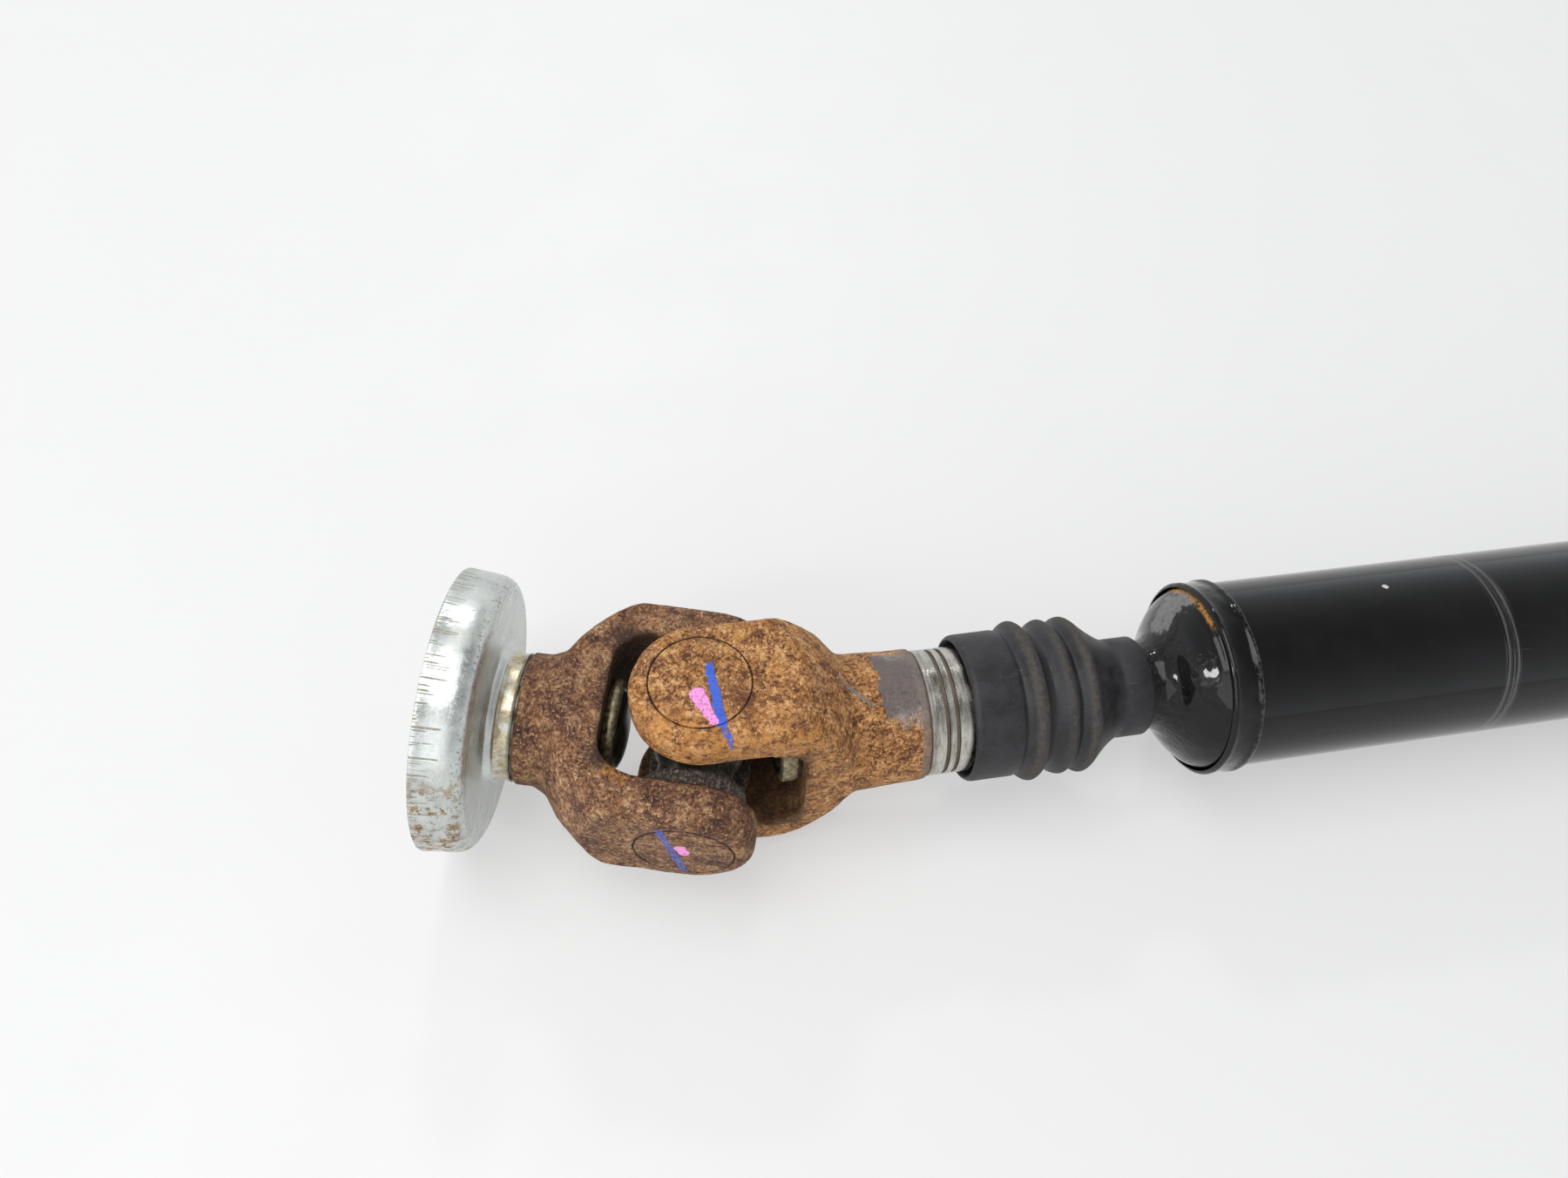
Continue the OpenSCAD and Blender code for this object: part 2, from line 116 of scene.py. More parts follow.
class Finish:
    """A procedural material. Sizes are in millimetres; places are in the piece's own frame."""

    def __init__(self, name, **sockets):
        self.material = bpy.data.materials.new(name)
        self.material.use_nodes = True
        self.tree = self.material.node_tree
        self.shader = self.tree.nodes["Principled BSDF"]
        for socket, value in sockets.items():
            self.set(socket.replace("_", " "), value)
        where = self.tree.nodes.new("ShaderNodeTexCoord")
        self.at = self.vector("SCALE", where.outputs["Object"], scale=1000.0)
        split = self.add("ShaderNodeSeparateXYZ", self.at)
        self.x, self.y, self.z = split.outputs[0], split.outputs[1], split.outputs[2]

    def add(self, kind, *inputs, **settings):
        node = self.tree.nodes.new(kind)
        for name, value in settings.items():
            setattr(node, name, value)
        for socket, value in zip(node.inputs, inputs):
            self.feed(socket, value)
        return node

    def feed(self, socket, value):
        if isinstance(value, bpy.types.NodeSocket):
            self.tree.links.new(value, socket)
        elif value is not None:
            socket.default_value = value

    def set(self, name, value):
        self.feed(self.shader.inputs[name], value)

    def vector(self, operation, a, b=None, scale=None):
        node = self.add("ShaderNodeVectorMath", a, operation=operation)
        if b is not None:
            self.feed(node.inputs[1], b)
        if scale is not None:
            self.feed(node.inputs["Scale"], scale)
        scalar = operation in {"LENGTH", "DOT_PRODUCT", "DISTANCE"}
        return node.outputs["Value" if scalar else "Vector"]

    def math(self, operation, a, b=None, clamp=False):
        return self.add("ShaderNodeMath", a, b, operation=operation, use_clamp=clamp).outputs[0]

    def noise(self, size, detail=4.0, rough=0.6, stretch=(1, 1, 1), shift=0.0, twist=0.0):
        """Noise with features of about that size, drawn out along an axis by stretch."""
        scaled = self.vector("MULTIPLY", self.at, tuple(1 / (size * s) for s in stretch))
        moved = self.vector("ADD", scaled, (shift, shift * 1.7, shift * 0.6))
        node = self.add("ShaderNodeTexNoise", moved)
        node.inputs["Scale"].default_value = 1.0
        node.inputs["Detail"].default_value = detail
        node.inputs["Roughness"].default_value = rough
        node.inputs["Distortion"].default_value = twist
        return node.outputs["Fac"]

    def step(self, value, low, high, start=0.0, end=1.0):
        """Goes smoothly from start to end while value goes from low to high."""
        node = self.add("ShaderNodeMapRange", interpolation_type="SMOOTHSTEP")
        for socket, number in zip(node.inputs, (value, low, high, start, end)):
            self.feed(socket, number)
        return node.outputs[0]

    def patches(self, size, detail, rough, shift, low, high, start=0.0, end=1.0):
        """Noise cut off between low and high: patches of about that size."""
        return self.step(self.noise(size, detail, rough, shift=shift), low, high, start, end)

    def ragged(self, size, detail, rough, shift, reach):
        """Noise about zero, to move an edge to and fro by up to about half of reach."""
        centred = self.math("SUBTRACT", self.noise(size, detail, rough, shift=shift), 0.5)
        return self.math("MULTIPLY", centred, reach)

    def ramp(self, value, positions, colours):
        node = self.add("ShaderNodeValToRGB", value)
        points = node.color_ramp.elements
        while len(points) < len(positions):
            points.new(0.5)
        for point, position, colour in zip(points, positions, colours):
            point.position = position
            point.color = (*colour, 1)
        return node.outputs["Color"]

    def mix(self, share, a, b):
        node = self.add("ShaderNodeMix", share, data_type="RGBA")
        for socket, colour in ((node.inputs[6], a), (node.inputs[7], b)):
            self.feed(socket, (*colour, 1) if isinstance(colour, tuple) else colour)
        return node.outputs[2]

    def blend(self, share, a, b):
        """Between two numbers, by share."""
        return self.add("ShaderNodeMix", share, None, a, b).outputs[0]

    def both(self, a, b):
        """Where both masks are, or one mask at a lower strength."""
        return self.math("MULTIPLY", a, b)

    def plus(self, value, other, share):
        """value with a share of the other added."""
        return self.math("ADD", value, self.math("MULTIPLY", other, share))

    def away(self, value, place):
        """How far value is from place."""
        return self.math("ABSOLUTE", self.math("SUBTRACT", value, place))

    def off_axis(self):
        return self.vector("MULTIPLY", self.at, (0, 1, 1))

    def radius(self):
        return self.vector("LENGTH", self.off_axis())

    def towards(self, degrees):
        """1 on the side of the X axis that faces that way, measured from +Y to +Z, -1 on the other."""
        side = (0, math.cos(math.radians(degrees)), math.sin(math.radians(degrees)))
        return self.vector("DOT_PRODUCT", self.vector("NORMALIZE", self.off_axis()), side)

    def angle(self):
        return self.math("ARCTAN2", self.z, self.y)

    def stroke(self, start, end):
        """Distance in the XY plane to a line between two points, and how far along the line that is."""
        run = Vector(end) - Vector(start)
        from_start = self.vector("SUBTRACT", self.vector("MULTIPLY", self.at, (1, 1, 0)), (*start, 0))
        share = self.vector("DOT_PRODUCT", from_start, (*(run / run.length_squared), 0))
        share = self.math("ADD", share, 0.0, clamp=True)
        nearest = self.vector("SCALE", (*run, 0), scale=share)
        return self.vector("LENGTH", self.vector("SUBTRACT", from_start, nearest)), share

    def bump(self, *layers):
        """layers: (height output, depth in mm)."""
        total = None
        for height, depth in layers:
            part = self.math("MULTIPLY", height, depth * MM)
            total = part if total is None else self.math("ADD", total, part)
        node = self.add("ShaderNodeBump")
        node.inputs["Strength"].default_value = 1.0
        node.inputs["Distance"].default_value = 1.0
        self.feed(node.inputs["Height"], total)
        self.set("Normal", node.outputs["Normal"])


PIT = (0.020, 0.009, 0.006)
GAP = (0.012, 0.007, 0.005)         # the line between a cup and its ear
FORK_SHADE = (0.020, 0.013, 0.009)      # painted shade on the inside of a fork


def rust(name, tones, warm, cool, extras, seed, warm_share=0.6):
    """Forged steel under a skin of fine speckled rust. tones run from dark to light."""
    f = Finish(name, Metallic=0.0, Specular_IOR_Level=0.3)
    grain = f.noise(0.9, detail=6, rough=0.76, shift=seed)
    clump = f.noise(4.2, detail=7, rough=0.74, shift=seed + 2)
    mixed = f.plus(f.both(grain, 0.55), clump, 0.45)
    colour = f.ramp(mixed, (0.42, 0.468, 0.50, 0.54, 0.60), tones)
    warm_patch = f.patches(7, 6, 0.74, seed + 3, 0.49, 0.60, 0, warm_share)
    colour = f.mix(f.both(warm_patch, f.patches(0.8, 6, 0.75, seed + 9, 0.45, 0.56)), colour, warm)
    cool_patch = f.patches(10, 7, 0.76, seed + 5, 0.51, 0.60, 0, 0.6)
    colour = f.mix(f.both(cool_patch, f.patches(1.4, 6, 0.75, seed + 10, 0.40, 0.52)), colour, cool)
    pits = f.patches(0.7, 4, 0.66, seed + 7, 0.39, 0.44, 1, 0)
    dark_area = f.patches(9, 4, 0.66, seed + 11, 0.44, 0.58, 0.2, 1.0)
    pits = f.both(pits, dark_area)
    colour = f.mix(f.both(pits, 0.8), colour, PIT)
    flecks = f.patches(0.8, 3, 0.6, seed + 13, 0.61, 0.66, 0, 0.85)
    colour = f.mix(flecks, colour, tones[-1])
    across = f.vector("LENGTH", f.vector("MULTIPLY", f.at, (1, 1, 0)))
    joint_line = f.step(f.away(across, CUP_R + 0.05), 0.12, 0.34, 1, 0)
    joint_line = f.both(joint_line, f.step(f.math("ABSOLUTE", f.z), 28.5, 29.5))
    colour = f.mix(f.both(joint_line, 0.85), colour, GAP)
    # Painted shade: the inner faces of the ears near the fork's bottom are darkened as if in shadow.
    drifted = f.plus(f.x, f.noise(3, 5, 0.7, shift=seed + 15), 6.0)
    inner = f.step(f.math("ABSOLUTE", f.z), EAR_INNER, EAR_INNER + 1.6, 1, 0)
    inner = f.both(inner, f.step(drifted, 26.0, 30.5, 1, 0))
    colour = f.mix(f.both(inner, 0.72), colour, FORK_SHADE)
    rough = f.step(grain, 0.3, 0.7, 0.62, 0.9)
    layers = [(grain, 0.26), (pits, -0.12), (clump, 0.5)]
    if extras:
        colour, rough, layers = extras(f, colour, rough, layers)
    f.set("Base Color", colour)
    f.set("Roughness", rough)
    f.bump(*layers)
    return f.material


BLUE = (0.035, 0.095, 0.50)
PINK = (0.80, 0.27, 0.60)
SLIP_MARKS = (      # start and end in the ear's face, widths there, paint, wear, seed
    ((2.7, 4.0), (3.6, -11.8), (1.0, 1.25), BLUE, 0.1, 51),
    ((4.0, -13.9), (5.0, -16.2), (0.95, 0.9), BLUE, 0.6, 53),
    ((-1.1, -3.4), (1.7, -11.0), (1.95, 1.0), PINK, 0.2, 55))
PLUG_MARKS = (
    ((6.5, 10.6), (-0.6, -11.3), (1.15, 1.05), BLUE, 0.6, 67),
    ((1.0, 2.3), (-0.1, -0.6), (1.45, 1.45), PINK, 0.2, 69))


def paint_marks(f, colour, rough, strokes, side):
    """Hand-drawn strokes of marker paint on the ear face at +Z or -Z, worn through in specks."""
    facing = f.step(f.both(f.z, side), 24.0, 26.0)
    painted = 0.0
    for start, end, widths, paint, wear, seed in strokes:
        distance, share = f.stroke(start, end)
        width = f.math("ADD", f.blend(share, *widths), f.ragged(1.6, 4, 0.65, seed, 1.9))
        mask = f.step(f.math("SUBTRACT", width, distance), -0.06, 0.12)
        worn = f.patches(0.6, 4, 0.7, seed + 2, 0.62 - wear * 0.3, 0.70 - wear * 0.2, 1, 0)
        mask = f.both(f.both(mask, worn), facing)
        light = tuple(min(1.0, c * 1.35 + 0.02) for c in paint)
        colour = f.mix(mask, colour, f.mix(f.noise(1.2, 3, 0.6, shift=seed + 4), paint, light))
        rough = f.blend(mask, rough, 0.42)
        painted = f.math("MAXIMUM", painted, mask)
    return colour, rough, painted


def slip_extras(f, colour, rough, layers):
    """Worn grey paint on the barrel, a handling scratch, and paint marks on the top cup."""
    ragged = f.ragged(3.0, 6, 0.72, 31, 9.0)
    along = f.math("ADD", f.x, ragged)
    side = f.plus(f.towards(86), ragged, 0.035)
    patch = f.both(f.step(along, 45.2, 45.9), f.step(side, 0.80, 0.86))
    patch = f.both(patch, f.step(f.x, 36.0, 37.0))
    grey = f.mix(f.noise(2.2, 5, 0.7, shift=33), (0.085, 0.068, 0.075), (0.17, 0.15, 0.145))
    colour = f.mix(f.both(patch, 0.93), colour, grey)
    fringe = f.both(f.step(side, 0.68, 0.80), f.step(side, 0.84, 0.92, 1, 0))
    fringe = f.both(fringe, f.step(f.x, 46.5, 49.0))
    fringe = f.both(fringe, f.patches(2.6, 8, 0.9, 35, 0.42, 0.62))
    colour = f.mix(f.both(fringe, 0.75), colour, (0.42, 0.37, 0.34))
    band = f.both(f.step(f.plus(f.x, ragged, 0.25), 54.0, 55.6), 0.75)
    worn_band = f.mix(f.noise(1.3, 5, 0.7, shift=37), (0.10, 0.075, 0.06), (0.26, 0.22, 0.19))
    colour = f.mix(band, colour, worn_band)
    scrape, _ = f.stroke((35.5, 2.2), (42.6, -5.0))
    scrape = f.math("ADD", scrape, f.ragged(2.0, 4, 0.7, 39, 2.2))
    scraped = f.both(f.step(scrape, 0.45, 0.7, 1, 0), f.step(f.z, 4.0, 8.0))
    colour = f.mix(f.both(scraped, 0.8), colour, (0.19, 0.18, 0.16))
    rough = f.blend(f.math("MAXIMUM", patch, scraped), rough, 0.5)
    lit = f.step(f.plus(f.both(f.y, -1.0), f.x, -0.15), 5.0, 13.0)
    glow = f.both(f.both(lit, f.step(f.z, 10.0, 24.0)), f.patches(2.6, 5, 0.7, 41, 0.44, 0.58))
    colour = f.mix(f.both(glow, 0.55), colour, (0.56, 0.25, 0.065))
    colour, rough, marks = paint_marks(f, colour, rough, SLIP_MARKS, 1)
    return colour, rough, layers + [(marks, 0.12), (patch, 0.08)]


def plug_extras(f, colour, rough, layers):
    """Fine bright scratches, an orange patch in the crotch, and paint marks on the front cup."""
    lines = f.noise(0.5, 3, 0.6, stretch=(1, 14, 9), shift=61, twist=0.4)
    near = f.patches(9, 3, 0.6, 63, 0.52, 0.6)
    lines = f.both(f.step(lines, 0.66, 0.71), near)
    colour = f.mix(f.both(lines, 0.55), colour, (0.42, 0.31, 0.22))
    spot = f.vector("DISTANCE", f.at, (18.5, 13.0, -19.5))
    spot = f.step(f.plus(spot, f.noise(2.4, 5, 0.7, shift=65), 9.0), 8.6, 10.6, 1, 0)
    spot = f.both(spot, f.patches(1.0, 6, 0.75, 64, 0.44, 0.54))
    colour = f.mix(f.both(spot, 0.85), colour, (0.46, 0.19, 0.045))
    rim = f.both(f.step(f.x, 44.4, 45.8), f.patches(1.5, 4, 0.7, 66, 0.3, 0.6))
    colour = f.mix(f.both(rim, 0.7), colour, (0.05, 0.03, 0.022))
    colour, rough, marks = paint_marks(f, colour, rough, PLUG_MARKS, -1)
    return colour, rough, layers + [(marks, 0.08)]


STAINED = -98       # the side of the dust cap where rust has started, from +Y to +Z in its own frame
ZINC = ((0.43, 0.46, 0.45), (0.56, 0.59, 0.575), (0.66, 0.685, 0.65))
SOILED = ((0.62, 0.66, 0.66), (0.50, 0.42, 0.26), (0.26, 0.18, 0.09))
CAP_R = 36.0


def round_rim(f, size, detail=3.0):
    """Noise that changes only round the dust cap's rim."""
    node = f.add("ShaderNodeTexNoise", noise_dimensions="1D")
    f.feed(node.inputs["W"], f.math("MULTIPLY", f.angle(), CAP_R / size))
    node.inputs["Scale"].default_value = 1.0
    node.inputs["Detail"].default_value = detail
    return node.outputs["Fac"]


def zinc_sheet():
    """Bright zinc with brown ticks along the open rim, rust blotches low down and a soiled collar."""
    f = Finish("zinc_sheet", Metallic=0.9, Specular_IOR_Level=0.5)
    cloud = f.noise(7, 6, 0.7, shift=1)
    colour = f.ramp(cloud, (0.32, 0.5, 0.68), ZINC)
    spangle = f.noise(0.9, 5, 0.75, shift=2)
    colour = f.mix(f.step(spangle, 0.52, 0.7, 0, 0.4), colour, (0.36, 0.37, 0.34))
    tick = f.step(round_rim(f, 0.6, 2.0), 0.51, 0.60)
    reach = f.step(round_rim(f, 2.4), 0.40, 0.70, 0.8, 7.0)
    from_rim = f.math("SUBTRACT", CAP_RIM, f.x)
    on_rim = f.both(f.step(f.math("SUBTRACT", reach, from_rim), -0.3, 0.5), f.step(f.radius(), 34.2, 34.8))
    tick = f.both(f.both(tick, on_rim), f.patches(1.4, 5, 0.75, 3, 0.30, 0.46))
    tint = f.mix(f.noise(3, 4, 0.7, shift=4), (0.16, 0.12, 0.07), (0.38, 0.28, 0.13))
    colour = f.mix(f.both(tick, 0.62), colour, tint)
    stain = f.both(f.patches(3.0, 7, 0.78, 5, 0.50, 0.55), f.step(f.towards(STAINED), 0.62, 0.90))
    stain = f.both(stain, f.step(f.radius(), 33.0, 35.0))
    rusty = f.mix(f.patches(1.3, 6, 0.76, 6, 0.44, 0.58), (0.42, 0.28, 0.10), (0.20, 0.085, 0.025))
    colour = f.mix(f.both(stain, 0.85), colour, rusty)
    specks = f.both(f.patches(0.7, 4, 0.7, 7, 0.56, 0.62), f.step(f.x, 53.2, 57.0, 1, 0.12))
    specks = f.both(specks, f.step(f.radius(), 29.0, 33.0))
    colour = f.mix(f.both(specks, 0.65), colour, (0.24, 0.20, 0.14))
    scrape = f.noise(0.45, 3, 0.6, stretch=(1, 3, 22), shift=9, twist=0.5)
    face = f.both(f.step(f.x, 52.8, 53.4, 1, 0), f.step(f.radius(), 19.0, 21.0))
    colour = f.mix(f.both(f.both(f.step(scrape, 0.56, 0.64), face), 0.6), colour, (0.78, 0.79, 0.77))
    dark = f.both(f.step(f.noise(0.5, 3, 0.6, stretch=(1, 10, 2), shift=10), 0.64, 0.7), face)
    colour = f.mix(f.both(dark, 0.6), colour, (0.20, 0.20, 0.18))
    collar = f.step(f.x, 49.4, 50.3, 1, 0)
    soil = f.ramp(f.noise(2.4, 6, 0.74, shift=11), (0.36, 0.5, 0.64), SOILED)
    colour = f.mix(f.both(collar, 0.85), colour, soil)
    inner = f.both(f.step(f.x, 53.7, 54.7), f.step(f.radius(), 34.2, 34.8, 1, 0))
    colour = f.mix(f.both(inner, 0.45), colour, (0.30, 0.29, 0.26))
    f.set("Base Color", colour)
    worn = f.math("MAXIMUM", f.math("MAXIMUM", tick, stain), specks)
    rough = f.step(cloud, 0.3, 0.7, 0.25, 0.37)
    f.set("Roughness", f.blend(worn, rough, 0.75))
    f.bump((cloud, 0.04), (spangle, 0.03), (worn, -0.05), (scrape, 0.02))
    return f.material


GOLD = ((0.08, 0.062, 0.035), (0.25, 0.20, 0.115), (0.46, 0.40, 0.27))


def gold_zinc(name, seed):
    """A pressed plug in old yellow zinc, darker in the middle, with painted shade on the neck behind its
    ring.
    """
    f = Finish(name, Metallic=0.75)
    grain = f.noise(1.2, 5, 0.7, shift=seed)
    colour = f.ramp(grain, (0.34, 0.5, 0.66), GOLD)
    # Darker in the middle; painted shade on the neck behind the ring, where the fork's crotch lies in shadow.
    dark_middle_and_shade = f.math("MAXIMUM", f.step(f.radius(), 10.6, 11.9, 1, 0), f.step(f.x, 23.9, 24.4))
    colour = f.mix(f.both(dark_middle_and_shade, 0.9), colour, (0.022, 0.019, 0.015))
    f.set("Base Color", colour)
    f.set("Roughness", f.blend(dark_middle_and_shade, f.step(grain, 0.3, 0.7, 0.32, 0.6), 0.28))
    f.bump((grain, 0.10), (f.noise(0.4, 3, 0.6, shift=seed + 2), 0.03))
    return f.material


OLIVE_STEEL = ((0.22, 0.20, 0.165), (0.47, 0.45, 0.40), (0.66, 0.64, 0.59))


def machined_ring():
    """Turned steel with fine rings, dulled olive grey, rust starting in the grooves."""
    f = Finish("machined_ring", Metallic=1.0)
    rings = f.noise(0.16, 2, 0.5, stretch=(1, 300, 300), shift=1)
    mottle = f.noise(1.5, 5, 0.66, stretch=(1, 5, 5), shift=2)
    colour = f.ramp(mottle, (0.32, 0.5, 0.68), OLIVE_STEEL)
    colour = f.mix(f.step(rings, 0.45, 0.62, 0, 0.35), colour, (0.16, 0.15, 0.13))
    groove = f.step(f.radius(), 16.25, 16.5, 1, 0)
    stain = f.math("MAXIMUM", f.both(groove, 0.8), f.both(f.step(f.x, 57.3, 58.4, 1, 0), 0.7))
    stain = f.math("MAXIMUM", stain, f.patches(1.4, 5, 0.75, 3, 0.60, 0.68, 0, 0.6))
    colour = f.mix(stain, colour, (0.10, 0.065, 0.04))
    f.set("Base Color", colour)
    f.set("Roughness", f.blend(stain, f.step(mottle, 0.3, 0.7, 0.16, 0.32), 0.7))
    f.bump((rings, 0.03), (mottle, 0.006), (stain, -0.02))
    return f.material


def worn_steel(name, tint, seed, dirt):
    """Plain steel with greasy brown dirt: crosses, needles, splines."""
    f = Finish(name, Metallic=0.85)
    grain = f.noise(1.6, 6, 0.72, shift=seed)
    light = tuple(c * 1.3 for c in tint)
    colour = f.mix(f.step(grain, 0.36, 0.64), tint, light)
    grease = f.patches(4.5, 6, 0.7, seed + 2, 0.44, 0.6, 0, dirt)
    colour = f.mix(grease, colour, (0.035, 0.026, 0.019))
    f.set("Base Color", colour)
    f.set("Roughness", f.blend(grease, f.step(grain, 0.3, 0.7, 0.3, 0.5), 0.6))
    f.bump((grain, 0.06), (f.noise(0.3, 2, 0.5, shift=seed + 4), 0.012))
    return f.material


GRIT = ((0.012, 0.010, 0.009), (0.060, 0.043, 0.032), (0.15, 0.11, 0.085), (0.45, 0.40, 0.35))


def seal_rubber(name, seed):
    """Seal plates caked in dry grey-brown grit."""
    f = Finish(name, Metallic=0.0)
    grit = f.noise(0.8, 5, 0.78, shift=seed)
    colour = f.ramp(grit, (0.38, 0.48, 0.57, 0.66), GRIT)
    f.set("Base Color", colour)
    f.set("Roughness", f.step(grit, 0.3, 0.7, 0.5, 0.85))
    f.bump((grit, 0.35), (f.noise(2.5, 3, 0.6, shift=seed + 2), 0.3))
    return f.material


def gloss_black(name, seed, extras=None):
    """Black paint with faint dust, long hairline scratches and a soft orange peel."""
    f = Finish(name, Metallic=0.0, Specular_IOR_Level=0.1, Coat_Weight=0.42, Coat_Roughness=0.05)
    haze = f.noise(16, 5, 0.65, shift=seed)
    colour = f.mix(f.step(haze, 0.4, 0.7), (0.0020, 0.0020, 0.0023), (0.0045, 0.0045, 0.0050))
    dust = f.patches(0.7, 3, 0.7, seed + 2, 0.70, 0.76, 0, 0.4)
    colour = f.mix(dust, colour, (0.10, 0.095, 0.085))
    hair = f.noise(0.35, 2, 0.5, stretch=(60, 1, 1), shift=seed + 4, twist=0.15)
    hair = f.both(f.step(hair, 0.72, 0.76), f.patches(22, 3, 0.6, seed + 6, 0.52, 0.62))
    colour = f.mix(f.both(hair, 0.5), colour, (0.09, 0.09, 0.088))
    rough = f.step(haze, 0.35, 0.7, 0.04, 0.09)
    layers = [(f.noise(1.8, 3, 0.5, shift=seed + 8), 0.010), (hair, -0.01)]
    if extras:
        colour, rough, layers = extras(f, colour, rough, layers)
    f.set("Base Color", colour)
    f.set("Roughness", rough)
    f.bump(*layers)
    return f.material


def tube_extras(f, colour, rough, layers):
    """A scuffed ring where the tube was clamped, and one chip."""
    lines = f.noise(0.22, 2, 0.6, stretch=(1, 90, 90), shift=81)
    ring = f.both(f.step(f.x, 211.6, 212.6), f.step(f.x, 216.4, 217.2, 1, 0))
    scuff = f.both(ring, f.step(lines, 0.46, 0.62))
    scuff = f.both(scuff, f.patches(7, 4, 0.65, 83, 0.34, 0.56, 0.35, 1))
    colour = f.mix(f.both(scuff, 0.75), colour, (0.085, 0.084, 0.086))
    for place in (213.1, 215.7):
        edge = f.step(f.away(f.x, place), 0.18, 0.32, 1, 0)
        colour = f.mix(f.both(edge, 0.45), colour, (0.12, 0.12, 0.12))
    chip = f.vector("DISTANCE", f.at, (186.0, 7.0, 24.4))
    chip = f.step(f.math("ADD", chip, f.noise(1.0, 3, 0.7, shift=85)), 1.2, 1.45, 1, 0)
    colour = f.mix(chip, colour, (0.5, 0.5, 0.48))
    return colour, f.blend(scuff, rough, 0.36), layers + [(lines, 0.004)]


def dome_extras(f, colour, rough, layers):
    """Paint peeled to grey by the weld, rust along the bead, and dust settled in the neck."""
    ragged = f.ragged(4, 6, 0.72, 91, 0.9)
    upper = f.plus(f.towards(48), ragged, 0.25)
    peel = f.both(f.step(f.plus(f.x, ragged, 6), 125.0, 126.0), f.step(upper, 0.965, 0.98))
    primer = f.mix(f.noise(1.5, 5, 0.7, shift=93), (0.06, 0.06, 0.06), (0.22, 0.22, 0.22))
    colour = f.mix(f.both(peel, 0.9), colour, primer)
    line = f.both(f.step(f.plus(f.x, ragged, 1.2), 133.0, 133.7), f.step(f.towards(58), 0.82, 0.93))
    line = f.both(line, f.patches(1.1, 6, 0.75, 94, 0.40, 0.52))
    fresh_rust = f.mix(f.noise(0.9, 5, 0.7, shift=95), (0.16, 0.055, 0.015), (0.55, 0.27, 0.06))
    colour = f.mix(f.both(line, 0.9), colour, fresh_rust)
    dusty = f.both(f.step(f.x, 121.0, 125.0, 1, 0), f.patches(1.6, 5, 0.7, 97, 0.54, 0.66))
    colour = f.mix(f.both(dusty, 0.12), colour, (0.10, 0.09, 0.075))
    rough = f.blend(f.math("MAXIMUM", peel, line), rough, 0.6)
    ripples = f.noise(2.0, 4, 0.6, stretch=(1.6, 1, 1), shift=99, twist=0.8)
    near_neck = f.step(f.x, 124.0, 132.0, 1, 0.25)
    return colour, rough, layers + [(f.both(ripples, near_neck), 0.6), (peel, -0.1), (line, 0.08)]


def bead_extras(f, colour, rough, layers):
    """The bead's raised edges, rubbed grey."""
    worn = f.both(f.step(f.radius(), 26.4, 26.7), f.patches(1.6, 6, 0.75, 101, 0.47, 0.60))
    colour = f.mix(f.both(worn, 0.35), colour, (0.15, 0.145, 0.14))
    lumps = f.noise(2.0, 3, 0.55, shift=103)
    return colour, f.blend(worn, rough, 0.28), layers + [(lumps, 0.22)]


def boot_rubber():
    """Charcoal rubber, matt, dusty brown on the crests of the folds and scuffed on the cuff."""
    f = Finish("boot_rubber", Metallic=0.0, Specular_IOR_Level=0.38)
    cloud = f.noise(6, 6, 0.68, shift=1)
    colour = f.mix(f.step(cloud, 0.35, 0.68), (0.010, 0.010, 0.011), (0.023, 0.0225, 0.0255))
    crest = f.both(f.step(f.x, 82.5, 84.0), f.step(f.radius(), 19.9, 21.2))
    dusty = f.both(crest, f.patches(1.4, 6, 0.74, 3, 0.40, 0.60, 0.25, 1.0))
    colour = f.mix(f.both(dusty, 0.5), colour, (0.105, 0.088, 0.072))
    fine = f.patches(0.6, 5, 0.75, 5, 0.60, 0.68, 0, 0.5)
    colour = f.mix(fine, colour, (0.085, 0.08, 0.078))
    scuff = f.noise(0.6, 3, 0.6, stretch=(10, 1, 1), shift=7, twist=0.4)
    scuff = f.both(f.step(scuff, 0.64, 0.70), f.patches(8, 3, 0.6, 9, 0.48, 0.6))
    colour = f.mix(f.both(scuff, 0.5), colour, (0.10, 0.10, 0.105))
    f.set("Base Color", colour)
    f.set("Roughness", f.blend(dusty, f.step(cloud, 0.3, 0.7, 0.42, 0.58), 0.85))
    f.bump((cloud, 0.06), (f.noise(0.5, 4, 0.7, shift=11), 0.035), (scuff, 0.02))
    return f.material


# ---- meshes ---------------------------------------------------------------

def curve(points, steps=5):
    """A smooth outline through points: a Catmull-Rom curve."""
    points = [Vector(p) for p in points]
    ends = [points[0] * 2 - points[1]] + points + [points[-1] * 2 - points[-2]]
    result = []
    for a, b, c, d in zip(ends, ends[1:], ends[2:], ends[3:]):
        for i in range(steps):
            t = i / steps
            result.append(tuple(0.5 * (2 * b + (c - a) * t + (2 * a - 5 * b + 4 * c - d) * t ** 2
                                       + (3 * b - a - 3 * c + d) * t ** 3)))
    return result + [tuple(points[-1])]


